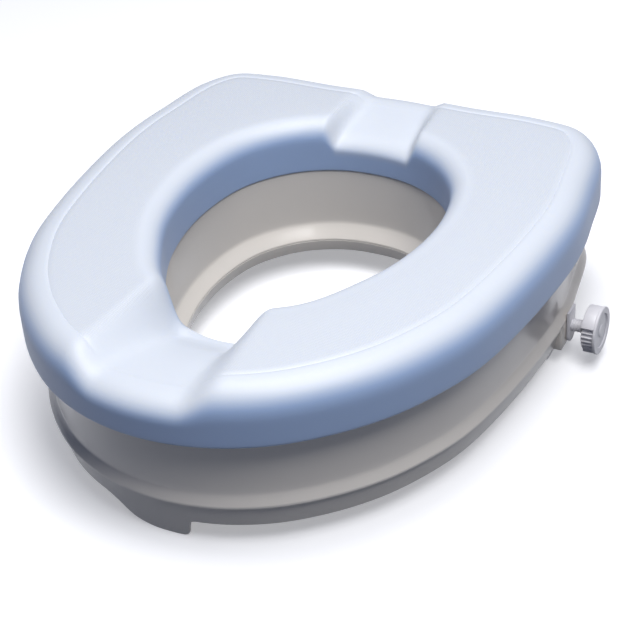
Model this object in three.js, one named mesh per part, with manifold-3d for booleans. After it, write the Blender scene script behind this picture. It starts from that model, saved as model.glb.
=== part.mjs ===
// A raised toilet seat: a moulded foam cushion on a hollow plastic base, which stands on the
// bowl's rim and is held there by a screw clamp on each side.
//
// Units are millimetres. +Z is up, the front of the seat faces -Y, and the origin is on the
// ground below the middle of the seat. Heights are given as depths below the seat's top.

import * as THREE from 'three';
import { mergeVertices } from 'three/addons/utils/BufferGeometryUtils.js';
import Module from 'manifold-3d';

const wasm = await Module();
wasm.setup();

// ---- driving dimensions ----------------------------------------------------------------

const HEIGHT = 126;              // from the feet of the clamps to the top of the cushion
const RAISE = 101.6;             // from the bowl's rim to the top of the cushion: four inches
const GAP = 0.3;                 // between pieces that touch
const STEPS = 80;                // facets round the rim

// Half outlines, from the front centre to the back centre, for x >= 0.
const SEAT_HALF = [
  [0, -206.5], [40, -201], [77, -185], [108, -161], [133.5, -132], [152, -100], [165, -67],
  [175, -15], [181, 52], [180.5, 85], [176, 118], [165, 170], [145, 196], [110, 204], [55, 204], [0, 206.5],
];
const HOLE_HALF = [
  [0, -103], [45, -87], [72.5, -48], [87, -11], [92.5, 36], [85, 80], [71, 104], [51, 122], [26, 133],
  [0, 136],
];

const FOAM = { under: 39.5, outerRound: 19.5, holeRound: 15, roundSteps: 4 };

// The two hygiene recesses across the rim. At the seat's edge and at the hole's: half the width,
// half the width of a side's slope, and the depth, which grows along the rim by the given power.
const FRONT_DIP = { centre: -5, atEdge: [43, 13, 11], atHole: [31, 14, 33], power: 2 };
const BACK_DIP = { centre: 0, atEdge: [28.5, 6.5, 3.5], atHole: [33, 5, 15.5], power: 1 };

const PLATE = { thick: 4.5, fromEdge: 25, fromHole: 15 };       // board inside the cushion
const WALL = 3;                                                   // base shell
const SHELL = { deck: FOAM.under + GAP, crease: 84, lipTop: 91, lipUnder: 93.2, under: 97.2 };

// Sections of the base shell, as [outwards from the named edge, depth], going round the section
// from the lip of the flange over the deck to the ledge in the hole, and back inside.
const SHELL_OUTSIDE = [
  [-8.7, SHELL.lipUnder], [-8.7, SHELL.lipTop], [-10.2, SHELL.lipTop - 1.8], [-12, SHELL.crease + 2.6],
  [-13, SHELL.crease], [-14.2, SHELL.deck + 1.5], [-15.7, SHELL.deck],
];
const SHELL_HOLE_SIDE = [
  [2.8, SHELL.deck], [1.4, SHELL.deck + 1.5], [2.9, 84.5], [2, 88.4], [-0.6, 91.6], [-3.8, 94.4],
  [-5.4, SHELL.under], [-2.4, SHELL.under], [2, 95.4], [4.6, 91], [5.9, 85], [4.4, SHELL.deck + WALL],
];
const SHELL_INSIDE = [[-17.2, SHELL.deck + WALL], [-16.2, SHELL.lipUnder]];

const RIBS = { count: 20, thick: 2.4, fromHole: 3.9, fromEdge: 15.6, footFromEdge: 18.5 };
const BOSS = { radius: 5, bore: 1.8, deep: 18, ribs: [2, 5, 9, 11, 15, 18] };
const SEAT_SCREW = { radius: 1.9, hole: 2.2, head: 4, headThick: 2.2, length: 7, blend: 0.63 };
const SEAT_SCREW_BAYS = [2, 6, 8, 11, 13, 17];
const RIM_SCREW = { blend: 0.5, radius: 1.5, hole: 1.8, head: 4, headThick: 1.2, length: 14 };

const SKIRT = { top: SHELL.lipUnder + GAP, under: 110.5, thick: 2.5, topInset: 10.8, slope: 3.2 / 17 };
const RIM = { top: SHELL.under + GAP, under: 99.8, lipUnder: 107.1 };
const RIM_HOLE_SIDE = [
  [-5.6, RIM.top], [-5.2, RIM.under], [-3.6, RIM.lipUnder], [-1.2, RIM.lipUnder], [-2.6, RIM.under],
];
// The front tab's foot is level between its foot's ends. Its left flank is an ogee, its right one is steep.
const TAB = { left: -48, shoulder: -23, shoulderDepth: 123.8, footLeft: -6, footRight: 10, right: 24 };
const REST_PAD = { long: 56, wide: 17, under: RAISE, steps: [4, 30, 50, 76] };

const CLAMP = { y: 85, depth: 99.5 };
const LUG = { inner: 163.7, outer: 172.1, half: 15, under: 113.5 };
const GUIDE = { inner: 139, thick: 2.5, top: 89.5, under: 106 };     // walls that the jaw runs between
const SLOT = { inner: 141, top: 88 };                                 // in the frame, for the jaw
const POCKET = { inner: 137, outer: 163.6, half: 17.5, top: 88 };     // in the shell, over the guides
const STRAP = { inner: 172.6, thick: 2, half: 7, top: 86.5, under: 112.5 };
const NUT = { inner: 164.2, thick: 5, wide: 13, high: 12 };
const SCREW = { radius: 4.65, neck: 3.4, tip: 152.3, shoulder: 163.5, end: 193.5 };
const KNOB = { inner: 185.5, body: 9, disc: 2, radius: 17.3, hollow: 2.6, bevel: 1 };
const LOBES = { count: 2, centre: 14, half: 44, flank: 5 };         // in degrees, from the top forwards
const JAW = { inner: 154.9, outer: 163.2, half: 13, top: 90.2, taperFrom: 112, toe: 2 };
const JAW_PAD = { thick: 3, half: 11, top: 106, under: 123.5 };
const CLIP = { radius: 5.6, thick: 1.2 };

const down = (depth) => HEIGHT - depth;

// ---- materials ---------------------------------------------------------------------------

const material = (color, roughness, metalness = 0) =>
  new THREE.MeshStandardMaterial({ color, roughness, metalness });
const foamSkin = material(0xd9e3f4, 0.6);
const board = material(0xb9a88a, 0.8);
const whitePlastic = material(0xe4e2df, 0.3);
const greyPlastic = material(0xd4d2d4, 0.4);
const steel = material(0xa9abae, 0.35, 1);
const rubber = material(0x55565a, 0.8);

// ---- outlines ----------------------------------------------------------------------------

function outline(half) {
  const other = half.slice(1, -1).reverse().map(([x, y]) => [-x, y]);
  const points = [...half, ...other].map(([x, y]) => new THREE.Vector3(x, y, 0));
  const curve = new THREE.CatmullRomCurve3(points, true, 'centripetal');
  curve.arcLengthDivisions = 600;
  const ring = curve.getSpacedPoints(STEPS).slice(0, STEPS);
  // The right half is kept and mirrored, so that the ring is exactly symmetric.
  for (let i = 1; i < STEPS / 2; i++) ring[STEPS - i].set(-ring[i].x, ring[i].y, 0);
  ring[0].x = 0;
  ring[STEPS / 2].x = 0;
  return ring.map((point, i) => {
    const along = ring[(i + 1) % STEPS].clone().sub(ring[(i + STEPS - 1) % STEPS]).normalize();
    return { point, out: new THREE.Vector3(along.y, -along.x, 0) };
  });
}

const seatEdge = outline(SEAT_HALF);
const holeEdge = outline(HOLE_HALF);

// A point of the rim: blend 0 is on the hole's edge and 1 on the seat's edge, and the offset
// is measured away from the middle of the seat.
function rimPoint(step, blend, offset = 0) {
  const [seat, hole] = [seatEdge, holeEdge].map((edge) => {
    const low = edge[Math.floor(step) % STEPS];
    const high = edge[(Math.floor(step) + 1) % STEPS];
    const place = ({ point, out }) => point.clone().addScaledVector(out, offset);
    return place(low).lerp(place(high), step % 1);
  });
  return hole.lerp(seat, blend);
}

// ---- solids ------------------------------------------------------------------------------

function toSolid(geometry) {
  const bare = geometry.clone();
  bare.deleteAttribute('normal');
  bare.deleteAttribute('uv');
  const merged = mergeVertices(bare, 1e-4);
  return new wasm.Manifold(new wasm.Mesh({
    numProp: 3,
    vertProperties: new Float32Array(merged.attributes.position.array),
    triVerts: new Uint32Array(merged.index.array),
  }));
}

function toGeometry(solid) {
  const mesh = solid.getMesh();
  const geometry = new THREE.BufferGeometry();
  geometry.setAttribute('position', new THREE.BufferAttribute(mesh.vertProperties, 3));
  geometry.setIndex(new THREE.BufferAttribute(mesh.triVerts, 1));
  geometry.computeVertexNormals();
  return geometry;
}

// A closed ring round the hole. The profile's points are [blend, offset, depth], anticlockwise
// when the rim is cut on the right-hand side and seen from the front.
function rimRing(profile, sink = () => 0) {
  const closed = [...profile, profile[0]];
  const geometry = new THREE.LatheGeometry(closed.map((p) => new THREE.Vector2(1, p[2])), STEPS);
  const position = geometry.attributes.position;
  for (let i = 0; i <= STEPS; i++) {
    closed.forEach(([blend, offset, depth], j) => {
      const p = rimPoint(i % STEPS, blend, offset);
      position.setXYZ(i * closed.length + j, p.x, p.y, down(depth + sink(p, depth)));
    });
  }
  return toSolid(geometry);
}

function box([x0, y0, z0], [x1, y1, z1]) {
  const geometry = new THREE.BoxGeometry(Math.abs(x1 - x0), Math.abs(y1 - y0), Math.abs(z1 - z0));
  return toSolid(geometry.translate((x0 + x1) / 2, (y0 + y1) / 2, (z0 + z1) / 2));
}

function upright(radius, low, high, x, y, sides = 16) {
  const geometry = new THREE.CylinderGeometry(radius, radius, high - low, sides);
  return toSolid(geometry.rotateX(Math.PI / 2).translate(x, y, (low + high) / 2));
}

// A round piece along X on a clamp's axis; side is 1 on the right and -1 on the left.
function round(side, radius, x0, x1, sides = 24) {
  const geometry = new THREE.CylinderGeometry(radius, radius, x1 - x0, sides).rotateZ(Math.PI / 2);
  return toSolid(geometry.translate((side * (x0 + x1)) / 2, CLAMP.y, down(CLAMP.depth)));
}

function clampBox(side, [x0, y0, depth0], [x1, y1, depth1]) {
  return box([side * x0, CLAMP.y + y0, down(depth0)], [side * x1, CLAMP.y + y1, down(depth1)]);
}

// ---- cushion -----------------------------------------------------------------------------

// How far the top is lowered where the hygiene recesses cross the rim.
function dip({ x, y }) {
  const recess = y < 0 ? FRONT_DIP : BACK_DIP;
  const edge = y < 0 ? SEAT_HALF[0][1] : SEAT_HALF.at(-1)[1];
  const hole = y < 0 ? HOLE_HALF[0][1] : HOLE_HALF.at(-1)[1];
  const reach = THREE.MathUtils.clamp((y - edge) / (hole - edge), 0, 1);
  const between = (k, share) => THREE.MathUtils.lerp(recess.atEdge[k], recess.atHole[k], share);
  const half = between(0, reach);
  const slope = between(1, reach);
  const from = Math.abs(x - recess.centre);
  const across = 1 - THREE.MathUtils.smoothstep(from, half - slope, half + slope);
  const near = THREE.MathUtils.smoothstep(Math.abs(y), 40, 80);
  return across * near * between(2, reach ** recess.power);
}

function cushion() {
  const { under, outerRound, holeRound, roundSteps } = FOAM;
  const plateTop = under - PLATE.thick - GAP;
  const profile = [[1, 0, under]];
  for (let i = 0; i <= roundSteps; i++) {
    const a = (i / roundSteps) * (Math.PI / 2);
    profile.push([1, -outerRound * (1 - Math.cos(a)), outerRound * (1 - Math.sin(a))]);
  }
  for (let i = roundSteps; i >= 0; i--) {
    const a = (i / roundSteps) * (Math.PI / 2);
    profile.push([0, holeRound * (1 - Math.cos(a)), holeRound * (1 - Math.sin(a))]);
  }
  profile.push([0, 0, under], [0, PLATE.fromHole - GAP, under], [0, PLATE.fromHole - GAP, plateTop]);
  profile.push([1, GAP - PLATE.fromEdge, plateTop], [1, GAP - PLATE.fromEdge, under]);
  return rimRing(profile, (p, depth) => dip(p) * Math.max(0, 1 - depth / plateTop));
}

// ---- screws through the rim --------------------------------------------------------------

// The seat's screws stand in the bays between the ribs, and the rim's screws under the bosses.
const ribStep = STEPS / RIBS.count;
const seatScrews = SEAT_SCREW_BAYS.map((bay) => rimPoint((bay + 0.5) * ribStep, SEAT_SCREW.blend));
const rimScrews = BOSS.ribs.map((rib) => rimPoint(rib * ribStep, RIM_SCREW.blend));

// A screw whose head bears against the underside at a depth.
function screw({ x, y }, depth, { radius, head, headThick, length }) {
  const bears = down(depth + GAP);
  const shank = upright(radius, bears - headThick / 2, bears + length, x, y, 12);
  return upright(head, bears - headThick, bears, x, y).add(shank);
}

const seatScrew = (at) => screw(at, SHELL.deck + WALL, SEAT_SCREW);
const rimScrew = (at) => screw(at, RIM.under, RIM_SCREW);

// Cuts a hole at each place, from one depth down to another.
function drill(solid, places, radius, top, under) {
  const cut = (rest, { x, y }) => rest.subtract(upright(radius, down(under), down(top), x, y, 12));
  return places.reduce(cut, solid);
}

function seatPlate() {
  const top = FOAM.under - PLATE.thick;
  const plate = rimRing([
    [1, -PLATE.fromEdge, FOAM.under], [1, -PLATE.fromEdge, top],
    [0, PLATE.fromHole, top], [0, PLATE.fromHole, FOAM.under],
  ]);
  return drill(plate, seatScrews, SEAT_SCREW.hole, top - 1, FOAM.under + 1);
}

// ---- base --------------------------------------------------------------------------------

const byEdge = (blend, points) => points.map(([offset, depth]) => [blend, offset, depth]);

// A stiffening rib across the shell at a step round the rim. It reaches the wall above the flange's
// lip, and stops short of the skirt below it.
function rib(step) {
  const inner = rimPoint(step, 0, RIBS.fromHole);
  const top = down(SHELL.deck + WALL / 2);
  const upTo = (outer, under) => {
    const span = outer.clone().sub(inner);
    const geometry = new THREE.BoxGeometry(span.length(), RIBS.thick, top - down(under));
    geometry.translate(span.length() / 2, 0, (top + down(under)) / 2);
    return toSolid(geometry.rotateZ(Math.atan2(span.y, span.x)).translate(inner.x, inner.y, 0));
  };
  return upTo(rimPoint(step, 1, -RIBS.fromEdge), SHELL.lipUnder)
    .add(upTo(rimPoint(step, 1, -RIBS.footFromEdge), SHELL.under));
}

function baseShell() {
  const { deck, under } = SHELL;
  const ribTop = deck + WALL / 2;
  const section = [byEdge(1, SHELL_OUTSIDE), byEdge(0, SHELL_HOLE_SIDE), byEdge(1, SHELL_INSIDE)];
  let shell = rimRing(section.flat());
  for (let k = 0; k < RIBS.count; k++) shell = shell.add(rib(k * ribStep));
  const half = RIBS.thick / 2;
  const midRib = [[half, under], [half, ribTop], [-half, ribTop], [-half, under]];
  shell = shell.add(rimRing(byEdge(0.5, midRib)));
  for (const { x, y } of rimScrews) shell = shell.add(upright(BOSS.radius, down(under), down(ribTop), x, y));
  shell = drill(shell, rimScrews, BOSS.bore, under - BOSS.deep, under + 1);
  shell = drill(shell, seatScrews, SEAT_SCREW.hole, deck - 1, deck + WALL + 1);
  for (const side of [1, -1]) {
    const { inner, outer, half: wide, top } = POCKET;
    shell = shell.subtract(clampBox(side, [inner, -wide, top], [outer, wide, under + 1]));
  }
  return shell;
}

// The inset of the skirt's outer face at a depth: it leans in towards its foot.
const skirtInset = (depth) => SKIRT.topInset + (depth - SKIRT.top) * SKIRT.slope;

function skirtRing(under) {
  return [
    [1, -skirtInset(under), under], [1, -skirtInset(SKIRT.top), SKIRT.top],
    [1, -skirtInset(SKIRT.top) - SKIRT.thick, SKIRT.top], [1, -skirtInset(under) - SKIRT.thick, under],
  ];
}

// The locating tab at the front: a long ogee on its left and a steep flank on its right.
function frontTab() {
  const { left, shoulder, shoulderDepth, footLeft, footRight, right } = TAB;
  const root = SKIRT.under - 4.5;
  const reach = 60;
  const shape = new THREE.Shape();
  shape.moveTo(left - 2, -root);
  shape.lineTo(left, -SKIRT.under + 1.5);
  shape.bezierCurveTo(
    left + 14, -SKIRT.under - 2.5,
    shoulder - 10, -shoulderDepth + 3.3,
    shoulder, -shoulderDepth,
  );
  shape.quadraticCurveTo(footLeft - 8, -HEIGHT, footLeft, -HEIGHT);
  shape.lineTo(footRight, -HEIGHT);
  shape.quadraticCurveTo(right - 7.5, -HEIGHT, right - 7, -HEIGHT + 6);
  shape.lineTo(right - 6, -SKIRT.under - 3.5);
  shape.quadraticCurveTo(right - 5.4, -SKIRT.under, right, -SKIRT.under + 0.5);
  shape.lineTo(right, -root);
  shape.closePath();
  const geometry = new THREE.ExtrudeGeometry(shape, { depth: reach, bevelEnabled: false, curveSegments: 6 });
  geometry.rotateX(Math.PI / 2).translate(0, SEAT_HALF[0][1] + reach - 3.5, HEIGHT);
  return toSolid(geometry).intersect(rimRing(skirtRing(HEIGHT)));
}

// What a clamp needs of the frame: the lug round the nut, and the two walls that the jaw runs between.
function clampSeat(side) {
  const lug = clampBox(side, [LUG.inner, -LUG.half, SKIRT.top], [LUG.outer, LUG.half, LUG.under]);
  const wall = (y) => clampBox(side, [GUIDE.inner, y, GUIDE.top], [JAW.outer, y + GUIDE.thick, GUIDE.under]);
  return lug.add(wall(JAW.half + GAP)).add(wall(-JAW.half - GAP - GUIDE.thick));
}

// What a clamp cuts out of the frame: the jaw's slot, the nut's trap and the screw's hole.
function clampCuts(side) {
  const half = JAW.half + GAP;
  const slot = clampBox(side, [SLOT.inner, -half, SLOT.top], [LUG.inner, half, LUG.under + 1]);
  const trap = clampBox(
    side,
    [NUT.inner - GAP, -NUT.wide / 2 - GAP, SKIRT.top - 1],
    [NUT.inner + NUT.thick + GAP, NUT.wide / 2 + GAP, CLAMP.depth + NUT.high / 2 + GAP],
  );
  return slot.add(trap).add(round(side, SCREW.radius + GAP, LUG.inner - 1, LUG.outer + 1));
}

function rimFrame() {
  const { top, under } = RIM;
  const inside = (depth) => -skirtInset(depth) - SKIRT.thick;
  const outside = [[-skirtInset(SKIRT.under), SKIRT.under], [-skirtInset(SKIRT.top), SKIRT.top]];
  const above = [[inside(SKIRT.top), SKIRT.top], [inside(top), top]];
  const below = [[inside(under), under], [inside(SKIRT.under), SKIRT.under]];
  const section = [byEdge(1, outside), byEdge(1, above), byEdge(0, RIM_HOLE_SIDE), byEdge(1, below)];
  let frame = rimRing(section.flat()).add(frontTab());
  for (const side of [1, -1]) frame = frame.add(clampSeat(side)).subtract(clampCuts(side));
  return drill(frame, rimScrews, RIM_SCREW.hole, top - 1, under + 1);
}

function restPad(step) {
  const { long, wide, under } = REST_PAD;
  const middle = rimPoint(step, 0.5);
  const ahead = rimPoint(step + 1, 0.5).sub(rimPoint(step - 1 + STEPS, 0.5));
  const shape = new THREE.Shape();
  const [a, r] = [long / 2 - wide / 2, wide / 2];
  shape.absarc(a, 0, r, -Math.PI / 2, Math.PI / 2);
  shape.absarc(-a, 0, r, Math.PI / 2, Math.PI * 1.5);
  const thick = under - RIM.under - GAP;
  const geometry = new THREE.ExtrudeGeometry(shape, { depth: thick, bevelEnabled: false, curveSegments: 6 });
  geometry.rotateZ(Math.atan2(ahead.y, ahead.x)).translate(middle.x, middle.y, down(under));
  return toSolid(geometry);
}

// ---- clamps ------------------------------------------------------------------------------

function strap(side) {
  const { inner, thick, half, top, under } = STRAP;
  const shape = new THREE.Shape();
  shape.moveTo(-half, -top);
  shape.lineTo(half, -top);
  shape.lineTo(half, half - under);
  shape.absarc(0, half - under, half, 0, -Math.PI, true);
  shape.closePath();
  const geometry = new THREE.ExtrudeGeometry(shape, { depth: thick, bevelEnabled: false, curveSegments: 8 });
  geometry.rotateX(Math.PI / 2).rotateZ(Math.PI / 2);
  const x = side > 0 ? inner : -inner - thick;
  return toSolid(geometry.translate(x, CLAMP.y, HEIGHT))
    .subtract(round(side, SCREW.radius + GAP, inner - 1, inner + thick + 1));
}

function nut(side) {
  const { inner, thick, wide, high } = NUT;
  const [top, under] = [CLAMP.depth - high / 2, CLAMP.depth + high / 2];
  return clampBox(side, [inner, -wide / 2, top], [inner + thick, wide / 2, under])
    .subtract(round(side, SCREW.radius + GAP, inner - 1, inner + thick + 1));
}

function clampScrew(side) {
  const { radius, neck, tip, shoulder, end } = SCREW;
  return round(side, radius, shoulder, end).add(round(side, neck, tip, shoulder + 0.5));
}

function screwClip(side) {
  const outer = JAW.inner - GAP;
  const bore = round(side, SCREW.neck + GAP, outer - CLIP.thick - 1, outer + 1);
  return round(side, CLIP.radius, outer - CLIP.thick, outer).subtract(bore);
}

// The wheel's outline: two broad lobes with hollows between them.
function knobRadius(angle) {
  const { count, centre, half, flank } = LOBES;
  const period = 360 / count;
  const turned = THREE.MathUtils.radToDeg(angle) - centre + period / 2;
  const fromLobe = Math.abs(THREE.MathUtils.euclideanModulo(turned, period) - period / 2);
  return KNOB.radius - GAP - KNOB.hollow * THREE.MathUtils.smoothstep(fromLobe, half, half + flank);
}

// The angle runs from the top forwards on both sides of the seat.
function knob(side) {
  const { inner, body, disc, radius, bevel } = KNOB;
  const points = [];
  for (let degrees = 0; degrees < 360; degrees += 4) {
    const angle = THREE.MathUtils.degToRad(degrees);
    const r = knobRadius(angle);
    points.push(new THREE.Vector2(-side * r * Math.cos(angle), -r * Math.sin(angle)));
  }
  const edges = { bevelSize: bevel, bevelThickness: bevel, bevelOffset: -bevel, bevelSegments: 2 };
  const geometry = new THREE.ExtrudeGeometry(new THREE.Shape(points), { depth: body - bevel, ...edges });
  geometry.translate(0, 0, bevel).rotateY((side * Math.PI) / 2);
  geometry.translate(side * inner, CLAMP.y, down(CLAMP.depth));
  return toSolid(geometry)
    .add(round(side, radius, inner + body - bevel / 2, inner + body + disc, 40))
    .subtract(round(side, SCREW.radius + GAP, inner - 1, SCREW.end + GAP));
}

function jaw(side) {
  const { inner, outer, half, top, taperFrom, toe } = JAW;
  const sideView = [
    [inner, top], [inner, HEIGHT - 2], [inner + 1.5, HEIGHT],
    [outer - toe - 1.5, HEIGHT], [outer - toe, HEIGHT - 2], [outer, taperFrom], [outer, top],
  ];
  const shape = new THREE.Shape(sideView.map(([x, depth]) => new THREE.Vector2(x, -depth)));
  const geometry = new THREE.ExtrudeGeometry(shape, { depth: half * 2, bevelEnabled: false });
  geometry.rotateX(Math.PI / 2).translate(0, CLAMP.y + half, HEIGHT);
  if (side < 0) geometry.rotateZ(Math.PI).translate(0, CLAMP.y * 2, 0);
  return toSolid(geometry).subtract(round(side, SCREW.neck + GAP, inner - 1, outer + 1));
}

function jawPad(side) {
  const { thick, half, top, under } = JAW_PAD;
  const outer = JAW.inner - GAP;
  return clampBox(side, [outer - thick, -half, top], [outer, half, under]);
}

// ---- assembly ----------------------------------------------------------------------------

const model = new THREE.Group();

function piece(name, solid, look) {
  const mesh = new THREE.Mesh(toGeometry(solid), look);
  mesh.name = name;
  model.add(mesh);
}

piece('seat_cushion', cushion(), foamSkin);
piece('seat_board', seatPlate(), board);
piece('base_shell', baseShell(), whitePlastic);
piece('rim_frame', rimFrame(), whitePlastic);
seatScrews.forEach((at, k) => piece(`seat_screw_${k + 1}`, seatScrew(at), steel));
rimScrews.forEach((at, k) => piece(`rim_screw_${k + 1}`, rimScrew(at), steel));
REST_PAD.steps.forEach((step, k) => piece(`rest_pad_${k + 1}`, restPad(step), rubber));

for (const [side, hand] of [[1, 'right'], [-1, 'left']]) {
  piece(`${hand}_clamp_strap`, strap(side), greyPlastic);
  piece(`${hand}_clamp_nut`, nut(side), steel);
  piece(`${hand}_clamp_screw`, clampScrew(side), greyPlastic);
  piece(`${hand}_hand_wheel`, knob(side), greyPlastic);
  piece(`${hand}_screw_clip`, screwClip(side), steel);
  piece(`${hand}_jaw`, jaw(side), greyPlastic);
  piece(`${hand}_jaw_pad`, jawPad(side), rubber);
}

export default model;
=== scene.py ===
import math

import bmesh
import bpy
import numpy as np
from mathutils import Matrix, Vector


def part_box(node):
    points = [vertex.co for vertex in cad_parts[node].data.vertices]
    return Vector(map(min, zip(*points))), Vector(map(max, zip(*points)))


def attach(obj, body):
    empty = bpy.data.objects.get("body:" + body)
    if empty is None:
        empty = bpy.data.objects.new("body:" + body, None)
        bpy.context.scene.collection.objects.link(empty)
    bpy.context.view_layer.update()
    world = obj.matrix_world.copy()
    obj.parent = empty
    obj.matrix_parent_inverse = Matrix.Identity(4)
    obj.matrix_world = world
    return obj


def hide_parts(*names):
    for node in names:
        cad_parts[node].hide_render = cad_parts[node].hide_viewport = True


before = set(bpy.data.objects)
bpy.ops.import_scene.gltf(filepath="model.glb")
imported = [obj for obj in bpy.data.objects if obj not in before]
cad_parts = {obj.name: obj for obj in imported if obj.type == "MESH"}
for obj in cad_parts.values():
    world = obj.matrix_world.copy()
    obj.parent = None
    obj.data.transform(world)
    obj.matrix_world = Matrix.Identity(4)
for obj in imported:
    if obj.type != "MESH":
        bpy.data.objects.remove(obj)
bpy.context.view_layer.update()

bl_info = {
    "name": "Raised Toilet Seat",
    "version": (1, 0, 0),
    "blender": (4, 5, 0),
    "location": "3D View > Sidebar > Raised Seat",
    "description": "Builds a padded raised toilet seat with two screw clamps around its packed frame",
    "category": "Add Mesh",
}

# Shapes are worked out in millimetres, in the frame's own axes: +Z up, the front towards -Y.
# Depths are measured down from the top of the cushion.

MM = 0.001
SIDES = {"right": 1, "left": -1}


def corners(node):
    """Lowest and highest corner of a CAD node, in millimetres."""
    return [Vector(corner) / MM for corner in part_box(node)]


TOP = corners("seat_cushion")[1].z
RIM = 90.0                    # nominal width of the rim's section: 0 is the hole's edge, RIM the seat's
NEAR_HOLE, NEAR_SEAT = 28.0, 32.0     # how far each edge's own shape reaches into the rim

SEAT_HALF = [
    (0, -206.5), (40, -201), (77, -185), (108, -161), (133.5, -132), (152, -100), (165, -67), (175, -15),
    (181, 52), (180.5, 85), (176, 118), (165, 170), (145, 196), (110, 204), (55, 204), (0, 206.5),
]
HOLE_HALF = [
    (0, -103), (45, -87), (72.5, -48), (87, -11), (92.5, 36), (85, 80), (71, 104), (51, 122), (26, 133),
    (0, 136),
]

FOAM_UNDER = TOP - corners("seat_cushion")[0].z
DECK = FOAM_UNDER + 0.3
SHELL_UNDER = 97.2            # foot of the shell's ledge in the hole
SKIRT_TOP, SKIRT_UNDER = 93.5, 110.5
SKIRT_INSET, SKIRT_LEAN = 10.8, 3.2 / 17      # from the seat's edge, and inwards for each mm of depth
FRAME_UNDER = 99.8            # underside of the frame, over the bowl's rim
LIP_UNDER = 107.1             # foot of the lip round the lower aperture
PLASTIC_WALL = 2.5
LUG_IN, LUG_OUT = 163.7, 172.1        # faces of the lugs that hold the clamps' nuts, from the middle plane


# ---- outlines ------------------------------------------------------------------------------


def spline(points, per_span=24):
    """A closed centripetal Catmull-Rom curve through the points."""
    walked = []
    count = len(points)
    for k in range(count):
        p0, p1, p2, p3 = (Vector(points[(k + j) % count]) for j in (-1, 0, 1, 2))
        t0, t1, t2 = (math.sqrt((b - a).length) for a, b in ((p0, p1), (p1, p2), (p2, p3)))
        leave = ((p1 - p0) / t0 - (p2 - p0) / (t0 + t1) + (p2 - p1) / t1) * t1
        arrive = ((p2 - p1) / t1 - (p3 - p1) / (t1 + t2) + (p3 - p2) / t2) * t1
        for j in range(per_span):
            s = j / per_span
            walked.append(
                p1 * (2 * s**3 - 3 * s**2 + 1) + leave * (s**3 - 2 * s**2 + s)
                + p2 * (3 * s**2 - 2 * s**3) + arrive * (s**3 - s**2)
            )
    return np.array([tuple(p) for p in walked])


def outline(half):
    """An edge of the seat as (share of the way round from the front, x, y, outward x, outward y)."""
    mirrored = [(-x, y) for x, y in reversed(half[1:-1])]
    points = spline([*half, *mirrored])
    along = np.roll(points, -3, axis=0) - np.roll(points, 3, axis=0)
    along /= np.linalg.norm(along, axis=1)[:, None]
    rows = np.column_stack([points, along[:, 1], -along[:, 0]])
    rows = np.vstack([rows, rows[:1]])
    lengths = np.linalg.norm(np.diff(rows[:, :2], axis=0), axis=1)
    share = np.concatenate([[0], np.cumsum(lengths)]) / lengths.sum()
    return np.column_stack([share, rows])


SEAT_EDGE = outline(SEAT_HALF)
HOLE_EDGE = outline(HOLE_HALF)


def on_edge(edge, share, offset):
    x, y, out_x, out_y = (float(np.interp(share % 1, edge[:, 0], edge[:, k])) for k in (1, 2, 3, 4))
    return Vector((x + out_x * offset, y + out_y * offset))


def rim_point(share, across):
    """The point of the rim at a share of the way round and a place across its section."""
    by_hole = on_edge(HOLE_EDGE, share, min(across, NEAR_HOLE))
    by_seat = on_edge(SEAT_EDGE, share, max(across - RIM, -NEAR_SEAT))
    blend = (across - NEAR_HOLE) / (RIM - NEAR_SEAT - NEAR_HOLE)
    return by_hole.lerp(by_seat, min(max(blend, 0), 1))


def smooth(low, high, value):
    s = min(max((value - low) / (high - low), 0), 1)
    return s * s * (3 - 2 * s)


# ---- mesh helpers ----------------------------------------------------------------------------


def rounded(corner_list, longest=None):
    """A closed section through corners of (across, depth, radius), each turned into an arc."""
    points = []
    count = len(corner_list)
    for k, (across, depth, radius) in enumerate(corner_list):
        here = Vector((across, depth))
        before = Vector(corner_list[k - 1][:2]) - here
        after = Vector(corner_list[(k + 1) % count][:2]) - here
        if radius == 0:
            points.append(here)
            continue
        u, v = before.normalized(), after.normalized()
        half = u.angle(v) / 2
        shares = [0.49 if corner_list[j % count][2] else 0.98 for j in (k - 1, k + 1)]
        cut = min(radius / math.tan(half), shares[0] * before.length, shares[1] * after.length)
        centre = here + (u + v).normalized() * (cut / math.cos(half))
        a, b = here + u * cut - centre, here + v * cut - centre
        steps = max(2, round(math.degrees(a.angle(b)) / 11))
        points += [centre + a.slerp(b, i / steps).normalized() * a.length for i in range(steps + 1)]
    if longest:
        points = stretch(points, longest)
    return points


def stretch(points, longest):
    """The same closed line with points added so that no step is longer than the limit."""
    filled = []
    for here, after in zip(points, points[1:] + points[:1]):
        parts = max(1, math.ceil((after - here).length / longest))
        filled += [here.lerp(after, i / parts) for i in range(parts)]
    return filled


def rim_ring(section, shares, place):
    """A ring whose section is spun round once and then laid on the rim by place()."""
    bm = bmesh.new()
    verts = [bm.verts.new((1, 0, j)) for j in range(len(section))]
    edges = [bm.edges.new((a, b)) for a, b in zip(verts, verts[1:] + verts[:1])]
    bmesh.ops.spin(bm, geom=verts + edges, cent=(0, 0, 0), axis=(0, 0, 1), dvec=(0, 0, 0),
                   angle=math.tau, steps=len(shares), use_merge=True, use_duplicate=False)
    across_layer = bm.verts.layers.float.new("across")
    for vert in bm.verts:
        j = round(vert.co.z)
        i = round(math.atan2(vert.co.y, vert.co.x) / math.tau * len(shares)) % len(shares)
        vert[across_layer] = section[j].x
        vert.co = place(shares[i], section[j].x, section[j].y)
    bmesh.ops.recalc_face_normals(bm, faces=bm.faces)
    return bm


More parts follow.
